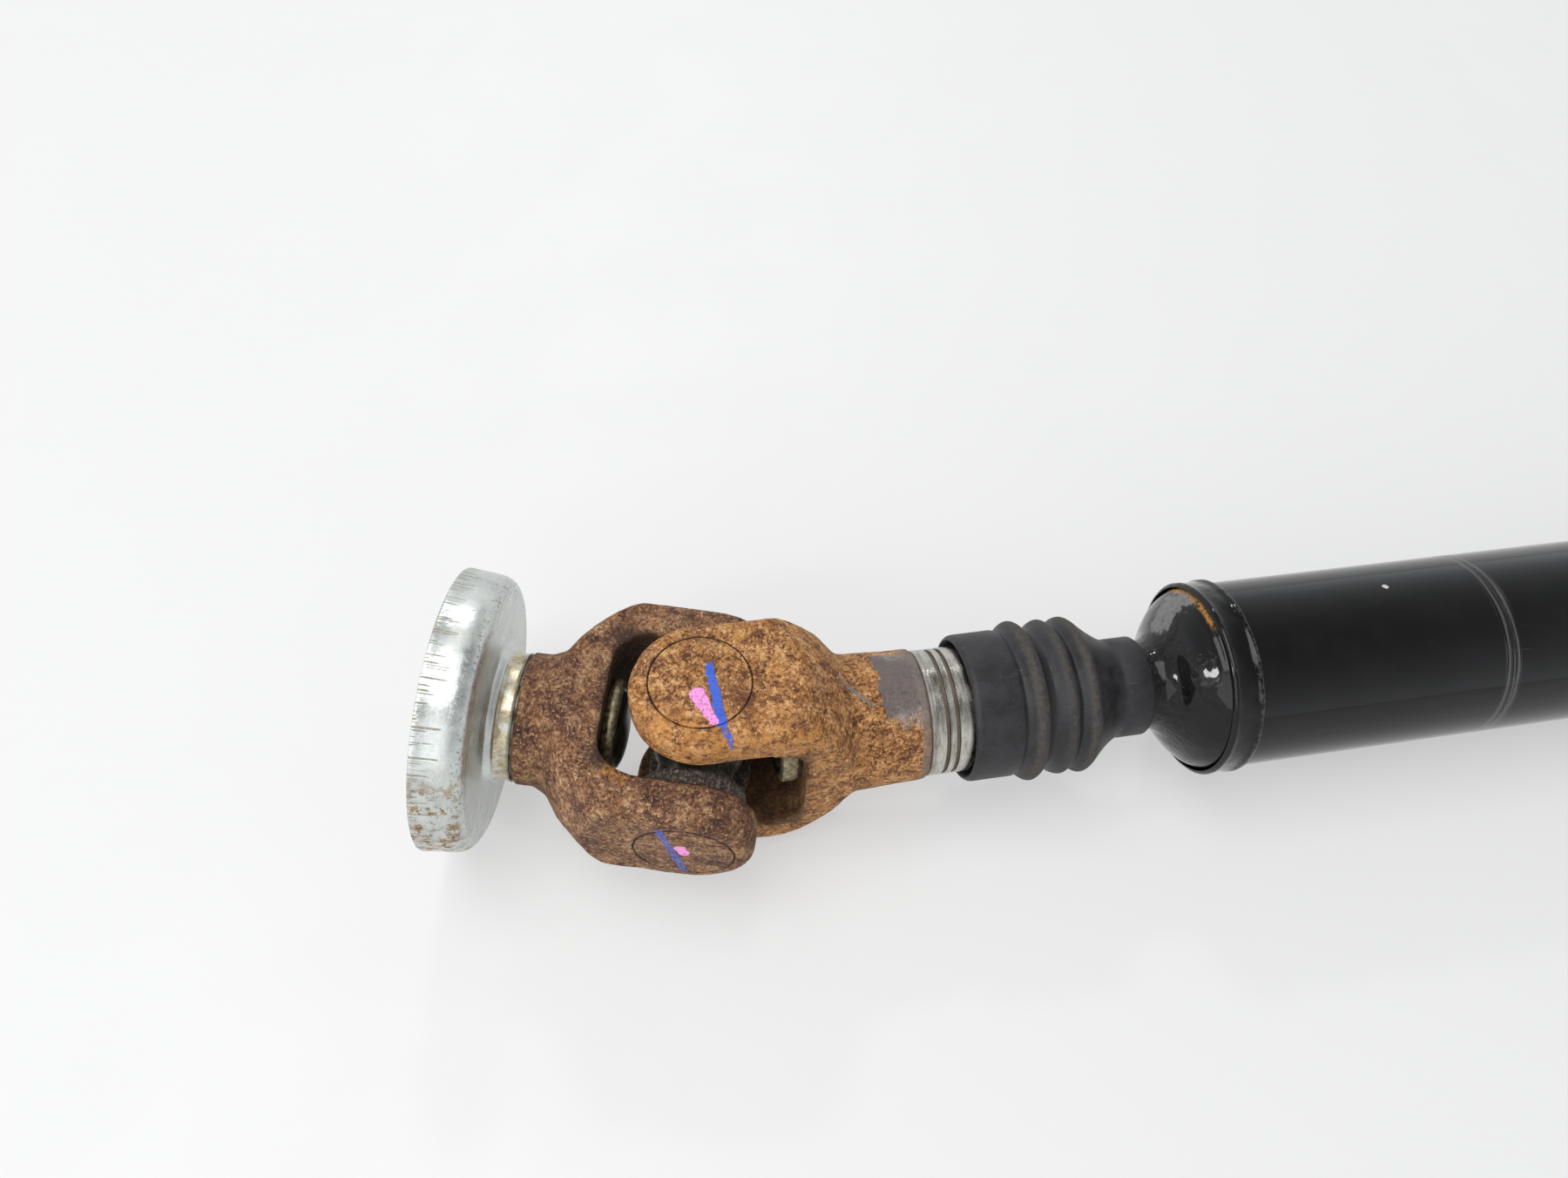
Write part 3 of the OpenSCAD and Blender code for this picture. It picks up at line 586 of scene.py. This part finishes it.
def turned(outline, angles=160, axis=ALONG, ripple=None):
    """A closed body turned about X. outline holds (distance, radius); a radius may be a list, one for
    each angle. axis turns the body, and ripple(x, angle, radius) is added to the radius."""
    if isinstance(angles, int):
        angles = [math.tau * i / angles for i in range(angles)]
    bm = bmesh.new()
    rings = []
    for x, radius in outline:
        if not isinstance(radius, list) and radius == 0:
            rings.append([bm.verts.new(axis @ Vector((x, 0, 0)) * MM)])
            continue
        radii = radius if isinstance(radius, list) else [radius] * len(angles)
        ring = []
        for a, r in zip(angles, radii):
            if ripple:
                r += ripple(x, a, r)
            ring.append(bm.verts.new((axis @ Vector((x, r * math.cos(a), r * math.sin(a)))) * MM))
        rings.append(ring)
    pairs = list(zip(rings, rings[1:]))
    if len(rings[0]) > 1:
        pairs.append((rings[-1], rings[0]))
    for one, two in pairs:
        for i in range(len(angles)):
            j = (i + 1) % len(angles)
            corners = [one[i % len(one)], one[j % len(one)], two[j % len(two)], two[i % len(two)]]
            bm.faces.new(list(dict.fromkeys(corners)))
    bmesh.ops.recalc_face_normals(bm, faces=bm.faces)
    return bm


def to_mesh(name, bm, sharp=32):
    for face in bm.faces:
        face.smooth = True
    for edge in bm.edges:
        if len(edge.link_faces) == 2 and edge.calc_face_angle(0) > math.radians(sharp):
            edge.smooth = False
    mesh = bpy.data.meshes.new(name)
    bm.to_mesh(mesh)
    bm.free()
    return mesh


def link(name, mesh):
    obj = bpy.data.objects.new(name, mesh)
    scene.collection.objects.link(obj)
    return obj


def piece(name, shape, place, material, body, replaces=(), sharp=32):
    """Puts a finished shape in its frame, on its body and in its slot."""
    mesh = shape if isinstance(shape, bpy.types.Mesh) else to_mesh(name, shape, sharp)
    mesh.materials.clear()
    mesh.materials.append(material)
    obj = link(name, mesh)
    obj.matrix_world = place
    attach(obj, body)
    if replaces:
        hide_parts(*replaces)


def applied(obj):
    """The object's mesh with its modifiers applied."""
    bpy.context.view_layer.update()
    mesh = bpy.data.meshes.new_from_object(obj.evaluated_get(bpy.context.evaluated_depsgraph_get()))
    obj.modifiers.clear()
    obj.data = mesh
    return mesh


def joined(*shapes):
    bm = bmesh.new()
    for shape in shapes:
        mesh = shape if isinstance(shape, bpy.types.Mesh) else to_mesh("part", shape)
        bm.from_mesh(mesh)
        bpy.data.meshes.remove(mesh)
    return bm


def cad_shape(node, place, fills=()):
    """A CAD node in its piece's own frame, with the fills added and doubled points merged."""
    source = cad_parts[node].data.copy()
    source.transform(place.inverted())
    bm = joined(source, *fills)
    bmesh.ops.remove_doubles(bm, verts=bm.verts, dist=0.002 * MM)
    return bm


def forged(node, place, fills=(), cutters=(), voxel=0.6, passes=13, lumps=0.2, seed=0.0, flat=None):
    """A forging: the CAD node with its holes filled, its edges rounded by smoothing, its faces a little
    uneven, and its machined holes cut clean again. flat(point) is 0 where the face stays true."""
    work = link(node + "_work", to_mesh(node, cad_shape(node, place, fills)))
    remesh = work.modifiers.new("remesh", "REMESH")
    remesh.mode = "VOXEL"
    remesh.voxel_size = voxel * MM
    remesh.use_smooth_shade = True
    smooth = work.modifiers.new("smooth", "SMOOTH")
    smooth.factor = 0.5
    smooth.iterations = passes
    mesh = applied(work)
    normals = [v.normal.copy() for v in mesh.vertices]
    shift = Vector((seed, seed * 2, seed * 3))
    for vertex, normal in zip(mesh.vertices, normals):
        at = vertex.co / MM
        coarse, fine = noise.noise(at / 7 + shift), noise.noise(at / 2.2 + shift)
        amount = coarse * lumps + fine * lumps * 0.35 - lumps * 0.3
        if flat:
            amount *= flat(at)
        vertex.co += normal * amount * MM
    if cutters:
        tool = link(node + "_tool", to_mesh(node + "_tool", joined(*cutters)))
        cut = work.modifiers.new("cut", "BOOLEAN")
        cut.operation = "DIFFERENCE"
        cut.object = tool
        cut.solver = "EXACT"
        mesh = applied(work)
        bpy.data.objects.remove(tool)
    bpy.data.objects.remove(work)
    bm = bmesh.new()
    bm.from_mesh(mesh)
    bmesh.ops.dissolve_degenerate(bm, edges=bm.edges, dist=0.001 * MM)
    return to_mesh(node, bm, sharp=38)


def rod(start, end, radius, axis=ALONG, angles=96):
    return turned([(start, 0), (start, radius), (end, radius), (end, 0)], angles, axis)


def near_pin(at):
    """0 on the ear faces round the cups, where the face stays true, 1 a little further out."""
    across = math.hypot(at.x, at.y)
    return 1.0 if abs(at.z) < 14 else min(1.0, max(0.0, (across - 13.2) / 2.5))


def near_flange(at):
    """As near_pin on the fork; the flange itself is machined and stays almost true."""
    return near_pin(at) if at.x < 44 else 0.3


def ear_fills():
    return [rod(EAR_INNER, EAR_FACE, CUP_FILL_R, up) for up in (PIN_UP, PIN_DOWN)]


def fork_fills(bore_to):
    return [rod(FORK_BASE, FORK_BASE + 6, CORE_FILL_R), rod(28, bore_to, BORE_FILL_R)] + ear_fills()


def fork_cutters(barrel):
    """barrel: the outline taken off behind and inside the barrel."""
    bore = [(14, 0), (14, CUP_R + 0.06), (EAR_FACE - 0.35, CUP_R + 0.06), (33, CUP_R + 2.7), (33, 0)]
    return [turned(bore, 160, up) for up in (PIN_UP, PIN_DOWN)] + [turned(barrel, 160)]


def core_and(end, barrel_r):
    """Outline of the core plug bore, the barrel bore, and everything behind the barrel's chamfered end."""
    chamfer = 0.7
    edge_r = barrel_r - chamfer
    return [(12, 0), (12, CORE_R + 0.02), (CORE_TO, CORE_R + 0.02), (BORE_FROM, BORE_R), (end, BORE_R),
            (end, edge_r), (end - 8, edge_r + 8), (end - 8, 34), (120, 34), (120, 0)]


def cup():
    """A bearing cup: closed end flush with the ear, hollow below."""
    return [(EAR_FACE - 0.02, 0), (EAR_FACE - 0.02, CUP_R - 0.25), (EAR_FACE - 0.10, CUP_R - 0.10),
            (EAR_FACE - 0.30, CUP_R), (CUP_IN + 0.3, CUP_R), (CUP_IN, CUP_R - 0.3), (CUP_IN, 10.3),
            (CUP_IN + 0.3, 10.0), (EAR_FACE - 2.4, 10.0), (EAR_FACE - 2.4, 0)]


def seal():
    """A seal plate with a rolled edge and a skirt over the cup mouth."""
    rolled = curve([(14.2, 9.2), (14.2, 10.8), (14.0, 12.2), (14.4, 13.3), (15.4, 13.65), (17.2, 13.5),
                    (18.9, 13.3)], 4)
    return rolled + [(19.0, 12.5), (15.6, 12.5), (15.6, 10.2), (15.9, 9.6), (15.7, PIN_R + 0.1),
                     (14.5, PIN_R + 0.1)]


def core_plug(reach=21.0):
    """A pressed plug: a proud ring from reach back, with a dark domed middle and a narrow neck behind."""
    dome = curve([(18.4, 0), (18.6, 3.5), (19.2, 7.0), (20.1, 9.4)], 4)
    ring = curve([(reach + 0.2, 10.3), (reach, 11.2), (reach + 0.3, 12.4), (reach + 1.0, 13.0), (23.1, 13.0),
                  (23.8, 12.4)], 4)
    return dome + ring + [(24.1, 11.9), (24.6, CORE_R - 0.05), (28.5, CORE_R - 0.05), (28.5, 11.2),
                          (24.6, 10.7), (23.0, 9.0), (21.0, 5.0), (20.4, 0)]


def teeth(root, tip, half_root, half_tip):
    """Angles and radii of a straight-sided spline, four points to a tooth."""
    angles, radii = [], []
    for i in range(TEETH):
        middle = math.tau * i / TEETH
        for radius, half in ((root, -half_root), (tip, -half_tip), (tip, half_tip), (root, half_root)):
            angles.append(middle + math.atan2(half, radius))
            radii.append(math.hypot(radius, half))
    return angles, radii


def sleeve(end, outer):
    """A splined bore inside a barrel; outer is the outline outside it, from the end back to the start."""
    angles, radii = teeth(*SLEEVE_TEETH)
    return turned([(SLEEVE_FROM, radii), (end, radii)] + outer + [(SLEEVE_FROM, SLEEVE_R)], angles)


def flash(plane):
    """Weld flash: a band between two curled edges."""
    shape = curve([(-4.3, 0.0), (-4.0, 0.75), (-3.2, 1.15), (-2.3, 0.9), (0, 0.75), (2.0, 0.85), (3.1, 1.3),
                   (3.9, 1.1), (4.3, 0.0)], 3)

    def uneven(x, a, r):
        lump = noise.noise(Vector((x / 3 + plane, math.cos(a) * 5, math.sin(a) * 5)))
        return 0.0 if r < TUBE_R + 0.2 else lump * 0.16 - 0.06

    outside = [(plane + x, TUBE_R + h) for x, h in shape]
    return turned(outside + [(plane + 3, TUBE_R - 0.5), (plane - 3, TUBE_R - 0.5)], 240, ripple=uneven)


# ---- the near joint ---------------------------------------------------------

SLIP_TONES = ((0.075, 0.026, 0.012), (0.19, 0.072, 0.024), (0.32, 0.14, 0.045), (0.47, 0.24, 0.088),
              (0.64, 0.40, 0.20))
PLUG_TONES = ((0.040, 0.018, 0.012), (0.105, 0.045, 0.026), (0.18, 0.084, 0.046), (0.30, 0.16, 0.076),
              (0.50, 0.33, 0.18))
BROWN = ((0.34, 0.15, 0.05), (0.075, 0.035, 0.030))     # warm and cool patches on the darker yokes
slip_rust = rust("slip_yoke_rust", SLIP_TONES, (0.56, 0.25, 0.05), (0.13, 0.047, 0.026), slip_extras, 1.0)
plug_rust = rust("plug_yoke_rust", PLUG_TONES, *BROWN, plug_extras, 21.0, 0.5)
flange_rust = rust("flange_yoke_rust", PLUG_TONES, *BROWN, None, 41.0, 0.55)
spline_steel = worn_steel("spline_steel", (0.30, 0.27, 0.22), 3.0, 0.8)
cross_steel = worn_steel("cross_steel", (0.16, 0.145, 0.12), 13.0, 0.85)
needle_steel = worn_steel("needle_steel", (0.50, 0.49, 0.47), 23.0, 0.3)
near_grit = seal_rubber("near_seal_grit", 2.0)

plug_barrel = core_and(COLLAR - 0.35, 17.0)
piece("plug_yoke_forging",
      forged("plug_yoke", PLUG, fork_fills(61), fork_cutters(plug_barrel), seed=3.1, flat=near_pin),
      PLUG, plug_rust, "plug_yoke_body", ["plug_yoke"])
plug_sleeve_end = 54.0
plug_sleeve_outside = [(plug_sleeve_end, BORE_R), (60.4, 13.0), (60.9, 13.5), (60.9, 14.6), (60.2, 15.4),
                       (COLLAR - 0.33, 15.4), (COLLAR - 0.33, SLEEVE_R)]
piece("plug_yoke_spline_sleeve", sleeve(plug_sleeve_end, plug_sleeve_outside), PLUG, spline_steel,
      "plug_yoke_body")
piece("plug_yoke_core_plug", turned(core_plug()), PLUG, gold_zinc("plug_core_gold", 1.0), "plug_yoke_body",
      ["plug_core_plug"])

cap_outside = curve([(45.9, 16.65), (46.6, 16.45), (48.4, 16.5), (49.5, 16.75), (50.2, 17.5), (51.0, 17.75),
                     (51.8, 18.3), (52.2, 19.4), (52.3, 21)], 4) \
    + curve([(52.3, 22), (52.3, 31.2), (52.6, 32.9), (53.5, 34.3), (55.0, 35.2), (57.2, 35.65), (61.5, 35.95),
             (63.8, 36.25), (64.5, 36.2)], 4)
cap_inside = curve([(64.7, 35.8), (64.5, 35.2), (61.5, 34.8), (57.6, 34.5), (55.8, 34.0), (54.4, 33.0),
                    (53.7, 31.6), (53.5, 30), (53.5, 22), (53.4, 19.8), (52.9, 18.4), (51.9, 17.0),
                    (50.6, 16.2), (49.6, 15.7)], 4)


def pressed(x, a, r):
    """Sheet that isn't quite true."""
    return 0.08 * noise.noise(Vector((x / 9, math.cos(a) * 1.6, math.sin(a) * 1.6))) - 0.03


piece("dust_cap_pressing", turned(cap_outside + cap_inside + [(45.9, 15.42)], 288, ripple=pressed), PLUG,
      zinc_sheet(), "plug_yoke_body", ["dust_cap"], sharp=50)

slip_barrel = core_and(RING, 17.4)
piece("slip_yoke_forging",
      forged("slip_yoke", NEAR, fork_fills(SLIP_END), fork_cutters(slip_barrel), seed=7.7, flat=near_pin),
      NEAR, slip_rust, "slip_yoke_body", ["slip_yoke"])
groove_r = RING_R - 0.5
ring_outside = [(RING + 0.02, 16.3), (RING + 0.4, RING_R)]
for start in (61.2, 63.8):
    ring_outside += [(start, RING_R), (start + 0.12, groove_r), (start + 0.98, groove_r),
                     (start + 1.1, RING_R)]
ring_outside += [(SLIP_END - 0.5, RING_R), (SLIP_END, 16.2)]
piece("slip_yoke_machined_ring",
      sleeve(SLIP_END, [(SLIP_END, 14.0)] + ring_outside[::-1] + [(RING + 0.02, SLEEVE_R)]),
      NEAR, machined_ring(), "slip_yoke_body")
piece("slip_yoke_core_plug", turned(core_plug(19.0)), NEAR, gold_zinc("slip_core_gold", 5.0),
      "slip_yoke_body", ["slip_core_plug"])

piece("near_cross_forging", forged("near_cross", NEAR_CROSS, passes=10, lumps=0.05), NEAR_CROSS, cross_steel,
      "near_cross_body", ["near_cross"])


def fit_ear(joint, side, ear, grit, cup_angles, seal_angles):
    """A bearing cup and its seal plate in one ear."""
    place, pin, finish, body = ear
    piece(f"{joint}_bearing_cup_{side}", turned(cup(), cup_angles, pin), place, finish, body,
          [f"{joint}_cup_{side}"])
    piece(f"{joint}_seal_plate_{side}", turned(seal(), seal_angles, pin), place, grit, body,
          [f"{joint}_seal_{side}"])


near_ears = {"top": (NEAR, PIN_UP, slip_rust, "slip_yoke_body"),
             "bottom": (NEAR, PIN_DOWN, slip_rust, "slip_yoke_body"),
             "front": (PLUG, PIN_DOWN, plug_rust, "plug_yoke_body"),
             "back": (PLUG, PIN_UP, plug_rust, "plug_yoke_body")}
for side, ear in near_ears.items():
    fit_ear("near", side, ear, near_grit, 160, 128)

# ---- boot, stub and tube ------------------------------------------------------

SEAM = math.radians(101)


def moulded(x, a, r):
    """The mould's parting line down both sides, and slack in the folds."""
    off = min(abs((a - SEAM + math.pi) % math.tau - math.pi), abs((a - SEAM) % math.tau - math.pi))
    ridge = 0.16 * math.exp(-(off * r / 0.35) ** 2) if r > 18.9 or x > 109 else 0.0
    slack = noise.noise(Vector((x / 6, math.cos(a) * 1.8, math.sin(a) * 1.8))) * 0.22
    return ridge + slack * (1.0 if 82 < x < 108 else 0.35) - 0.12


boot_outside = [(68.3, 18.5), (68.6, 19.1), (69.3, 19.6), (70.0, 19.72), (75.0, 19.75), (80.2, 19.75)] \
    + curve([(81.0, 19.55), (81.9, 19.25), (82.9, 19.75), (84.1, 21.0), (85.5, 21.65), (86.9, 21.0),
             (88.1, 19.7), (89.6, 19.0), (91.1, 19.5), (92.5, 20.5), (93.9, 20.95), (95.3, 20.3),
             (96.5, 19.3), (97.4, 19.6), (98.7, 20.8), (99.9, 21.15), (101.3, 20.4), (103.4, 18.5),
             (106, 16.4), (108.8, 14.5), (110.8, 13.5)], 5) \
    + [(111.6, 13.35), (112.1, 13.6), (118.6, 13.6), (119.2, 13.2)]
boot_inside = [(119.2, 12.05), (109.6, 12.05)] \
    + curve([(107.6, 13.0), (104.6, 15.2), (101.8, 17.2), (100.0, 18.3), (98.4, 18.0), (96.5, 17.6),
             (93.9, 18.4), (91.2, 17.7), (89.6, 17.5), (87.4, 18.2), (85.5, 18.9), (83.4, 18.2),
             (81.6, 17.95)], 3) \
    + [(69.0, 17.95)]
piece("boot_bellows", turned(boot_outside + boot_inside, 224, ripple=moulded), NEAR, boot_rubber(), "shaft",
      ["boot"], sharp=48)


def drawn(x, a, r):
    """Faint flow lines where the neck was swaged."""
    if not 100 < x < 134 or r < 11:
        return 0.0
    return 0.22 * noise.noise(Vector((x / 2.6, math.cos(a) * r / 7, math.sin(a) * r / 7))) - 0.1


def straight(x, a, r):
    """A drawn tube that is very nearly round."""
    return 0.03 * noise.noise(Vector((x / 60, math.cos(a), math.sin(a)))) - 0.02


stub_angles, stub_radii = teeth(*STUB_TEETH)
stub_outline = [(STUB_FROM, 0), (STUB_FROM, [r - 1.0 for r in stub_radii]), (STUB_FROM + 1, stub_radii),
                (STUB_TO, stub_radii), (STUB_TO, 0)]
piece("stub_splines", turned(stub_outline, stub_angles), NEAR, spline_steel, "shaft",
      ["splined_stub"])
neck = curve([(121.2, 12.0), (123.3, 12.75), (125.4, 14.6), (127.3, 17.4), (129.3, 20.2), (131.5, 22.6),
              (133.5, 24.2), (135.5, 25.05), (WELD_FRONT, TUBE_R)], 5)
dome_inside = [(WELD_FRONT, 21.4), (133.4, 18.9), (130.4, 12), (129.4, 0)]
piece("stub_neck_and_dome",
      turned([(99.0, 0), (99.0, 11.0), (101.0, 11.95)] + neck + dome_inside, 224, ripple=drawn),
      NEAR, gloss_black("stub_paint", 5.0, dome_extras), "shaft", ["splined_stub"], sharp=45)

weld_rear = SPAN - WELD_REAR_GAP
tube_start, tube_end = WELD_FRONT + 0.02, weld_rear - 0.02
tube_rings = [(tube_start + (tube_end - tube_start) * i / 24, TUBE_R) for i in range(25)]
tube_inside = [(tube_end, TUBE_R - TUBE_WALL), (tube_start, TUBE_R - TUBE_WALL)]
piece("tube_drawn", turned(tube_rings + tube_inside, 256, ripple=straight), NEAR,
      gloss_black("tube_paint", 15.0, tube_extras), "shaft", ["tube"])
bead_paint = gloss_black("bead_paint", 25.0, bead_extras)
for end, plane in (("front", WELD_FRONT), ("rear", weld_rear)):
    piece(f"{end}_weld_flash", flash(plane), NEAR, bead_paint, "shaft",
          [f"{end}_weld_bead"], sharp=60)


def weight_plate():
    """The CAD balance weight with its flat faces merged and its edges rounded."""
    bm = cad_shape("balance_weight", NEAR)
    bmesh.ops.dissolve_limit(bm, angle_limit=math.radians(3), verts=bm.verts, edges=bm.edges)
    edges = [e for e in bm.edges if len(e.link_faces) == 2 and e.calc_face_angle(0) > math.radians(50)]
    bmesh.ops.bevel(bm, geom=edges, offset=0.55 * MM, segments=3, affect="EDGES", clamp_overlap=True)
    return bm


far_paint = gloss_black("weld_yoke_paint", 35.0)
piece("balance_weight_plate", weight_plate(), NEAR, far_paint, "shaft", ["balance_weight"])

# ---- the far joint ------------------------------------------------------------

core_bore = [(12, 0), (12, CORE_R + 0.02), (CORE_TO, CORE_R + 0.02), (CORE_TO, 0)]
core_fill = (FORK_BASE, 40, CORE_FILL_R)
piece("weld_yoke_forging",
      forged("weld_yoke", FAR_WELD, [rod(*core_fill), *ear_fills()], fork_cutters(core_bore), 0.8, 16, 0.16,
             11.3, near_pin),
      FAR_WELD, far_paint, "shaft", ["weld_yoke"])


def bolt_rods(start, end, radius):
    """A rod in each of the four bolt holes."""
    holes = []
    for i in range(4):
        hole = rod(start, end, radius, angles=64)
        hole.transform(turn(45 + 90 * i, "X") @ Matrix.Translation((0, BOLT_CIRCLE * MM, 0)))
        holes.append(hole)
    return holes


flange_fills = [rod(*core_fill), rod(RECESS_FROM - 1, FLANGE, RECESS_R + 0.4), *ear_fills(),
                *bolt_rods(FLANGE - FLANGE_T + 0.1, FLANGE - 0.1, BOLT_R + 0.35)]
flange_cutters = fork_cutters(core_bore) + bolt_rods(40, 60, BOLT_R)
flange_cutters.append(rod(RECESS_FROM, 60, RECESS_R, angles=160))
piece("flange_yoke_forging",
      forged("flange_yoke", FAR_FLANGE, flange_fills, flange_cutters, 0.8, 14, 0.14, 17.9, near_flange),
      FAR_FLANGE, flange_rust, "flange_yoke_body", ["flange_yoke"])
piece("far_cross_forging", forged("far_cross", FAR, voxel=0.7, passes=8, lumps=0.05), FAR, cross_steel,
      "far_cross_body", ["far_cross"])
far_grit = seal_rubber("far_seal_grit", 12.0)
far_ears = {"top": (FAR_WELD, PIN_UP, far_paint, "shaft"),
            "bottom": (FAR_WELD, PIN_DOWN, far_paint, "shaft"),
            "front": (FAR_FLANGE, PIN_UP, flange_rust, "flange_yoke_body"),
            "back": (FAR_FLANGE, PIN_DOWN, flange_rust, "flange_yoke_body")}
for side, ear in far_ears.items():
    fit_ear("far", side, ear, far_grit, 128, 96)

for joint in ("near", "far"):
    for side in ("top", "bottom", "front", "back"):
        for needle_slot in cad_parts[f"{joint}_needles_{side}"].material_slots:
            needle_slot.material = needle_steel

# ---- room, light and camera ---------------------------------------------------

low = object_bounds()[0].z
FLOOR_TONE = (0.34, 0.34, 0.338)
FLOOR_GLOW = 0.44       # lit through, so that shadows stay faint
FLOOR_REACH = 30.0      # metres each way


def floor_paint():
    f = Finish("floor_paint", Metallic=0.0, Emission_Color=(1, 1, 1, 1), Emission_Strength=FLOOR_GLOW)
    f.set("Base Color", f.mix(f.noise(60, 4, 0.6), FLOOR_TONE, tuple(c * 0.97 for c in FLOOR_TONE)))
    f.set("Roughness", f.step(f.noise(40, 3, 0.5), 0.3, 0.7, 0.5, 0.62))
    f.bump((f.noise(3, 3, 0.5), 0.01))
    return f.material


def sheet(name, corners, material):
    mesh = bpy.data.meshes.new(name)
    mesh.from_pydata(corners, [], [(0, 1, 2, 3)])
    mesh.materials.append(material)
    obj = link(name, mesh)


corners = [(FLOOR_REACH * x, FLOOR_REACH * y, low) for x, y in ((-1, -1), (1, -1), (1, 1), (-1, 1))]
sheet("floor", corners, floor_paint())

world = bpy.data.worlds.new("studio")
world.use_nodes = True
scene.world = world
backdrop = world.node_tree.nodes["Background"]
backdrop.inputs["Color"].default_value = (0.96, 0.98, 1.0, 1)
sky = world.node_tree.nodes.new("ShaderNodeSeparateXYZ")
direction = world.node_tree.nodes.new("ShaderNodeTexCoord")
fade = world.node_tree.nodes.new("ShaderNodeMapRange")      # bright walls, a dimmer ceiling
world.node_tree.links.new(direction.outputs["Generated"], sky.inputs[0])
world.node_tree.links.new(sky.outputs["Z"], fade.inputs["Value"])
for socket, number in (("From Min", 0.1), ("From Max", 0.85), ("To Min", 1.05), ("To Max", 0.36)):
    fade.inputs[socket].default_value = number
world.node_tree.links.new(fade.outputs["Result"], backdrop.inputs["Strength"])
scene.view_settings.view_transform = "Standard"


def softbox(name, offset, size, watts):
    """A lit rectangle aimed at the near joint from offset metres away."""
    light = bpy.data.lights.new(name, "AREA")
    light.shape = "RECTANGLE"
    light.size, light.size_y = size
    light.energy = watts
    obj = link(name, light)
    obj.location = joint_centre + Vector(offset)
    obj.rotation_euler = (joint_centre - obj.location).to_track_quat("-Z", "Y").to_euler()


joint_centre = NEAR.translation
softbox("key", (-0.45, -0.02, 1.6), (1.3, 1.1), 17.5)
softbox("fill", (-1.0, -1.2, 1.0), (1.4, 1.2), 8)
softbox("lamp", (-1.2, -0.25, 0.6), (0.16, 0.24), 4)
softbox("window", (0.1, 1.5, 1.3), (0.26, 0.12), 5)

# The camera stands above and in front of the near joint, a little to its left.
CAMERA_AT = Vector((-18.25, -139.27, 270.64))       # from the near joint
LENS = 26.744
LOOKING = Vector((0.1456, 0.5556, -0.8186))
RIGHT = Vector((0.9832, -0.1733, 0.0573))
camera_data = bpy.data.cameras.new("camera")
camera_data.sensor_width = 36
camera_data.lens = LENS
camera_data.clip_start = 0.01
camera = link("camera", camera_data)
looking = LOOKING.normalized()
right = (RIGHT - looking * RIGHT.dot(looking)).normalized()
above = right.cross(looking)
view = Matrix((right, above, -looking)).transposed().to_4x4()
view.translation = joint_centre + CAMERA_AT * MM
camera.matrix_world = view
scene.camera = camera
